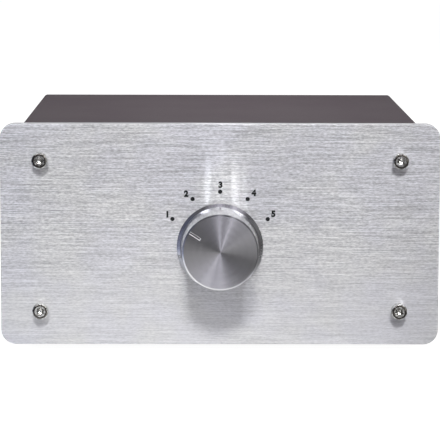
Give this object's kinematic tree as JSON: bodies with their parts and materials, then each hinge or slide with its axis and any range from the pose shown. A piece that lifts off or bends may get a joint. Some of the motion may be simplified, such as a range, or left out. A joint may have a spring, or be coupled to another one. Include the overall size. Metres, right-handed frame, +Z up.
{
  "type": "audio source selector",
  "caption": "Small desktop switch box: a steel case behind a thick brushed plate, with one detented knob on a rotary switch and two rows of phono sockets at the back.",
  "frame": {"origin": "on the table, below the middle of the whole object", "axes": "+Z up, the front plate and knob face -Y, +X to the right seen from the front"},
  "size_m": [0.15, 0.16, 0.0785],
  "materials": {
    "plate_aluminium": "satin",
    "knob_aluminium": "satin",
    "plated_screws": "polished",
    "case_paint": "satin",
    "black_steel": "satin",
    "foot_rubber": "matte",
    "zinc_steel": "satin",
    "spring_steel": "satin",
    "shaft_aluminium": "satin",
    "brass": "satin",
    "silvered_brass": "satin",
    "gold_plate": "polished",
    "white_plastic": "satin",
    "red_plastic": "satin",
    "wafer_board": "matte",
    "rotor_plastic": "matte",
    "fibre": "matte",
    "white_wire": "satin",
    "red_wire": "satin"
  },
  "bodies": {
    "case": {"front_plate": "plate_aluminium", "front_plate_screws": "plated_screws", "front_plate_nuts": "zinc_steel", "top_cover": "case_paint", "chassis_tray": "case_paint", "cover_screws": "black_steel", "rubber_feet": "foot_rubber", "foot_screws": "black_steel", "foot_nuts": "zinc_steel", "switch_bushing": "brass", "switch_frame": "zinc_steel", "switch_nut": "brass", "switch_lock_washer": "zinc_steel", "stop_ring": "zinc_steel", "detent_spring": "spring_steel", "detent_spring_rivets": "brass", "left_wafer": "wafer_board", "right_wafer": "wafer_board", "left_deck_contacts": "silvered_brass", "right_deck_contacts": "silvered_brass", "switch_studs": "zinc_steel", "switch_stud_nuts": "zinc_steel", "switch_spacers": "shaft_aluminium", "socket_shells": "gold_plate", "left_socket_washers": "white_plastic", "right_socket_washers": "red_plastic", "left_socket_cores": "white_plastic", "right_socket_cores": "red_plastic", "socket_centre_contacts": "gold_plate", "socket_rear_washers": "fibre", "socket_ground_tags": "silvered_brass", "socket_nuts": "gold_plate", "left_wires": "white_wire", "right_wires": "red_wire", "ground_wire": "silvered_brass"},
    "selector": {"control_knob": "knob_aluminium", "knob_set_screw": "black_steel", "switch_shaft": "shaft_aluminium", "shaft_clip": "spring_steel", "detent_wheel": "zinc_steel", "left_rotor": "rotor_plastic", "right_rotor": "rotor_plastic", "left_wiper": "silvered_brass", "right_wiper": "silvered_brass"}
  },
  "joints": [
    {"name": "selector_turn", "type": "hinge", "parent": "case", "child": "selector", "pos_m": [0, -0.0645, 0.0365], "axis": [0, 1, 0], "range_deg": [0, 120], "deforming": ["detent_spring"]}
  ]
}
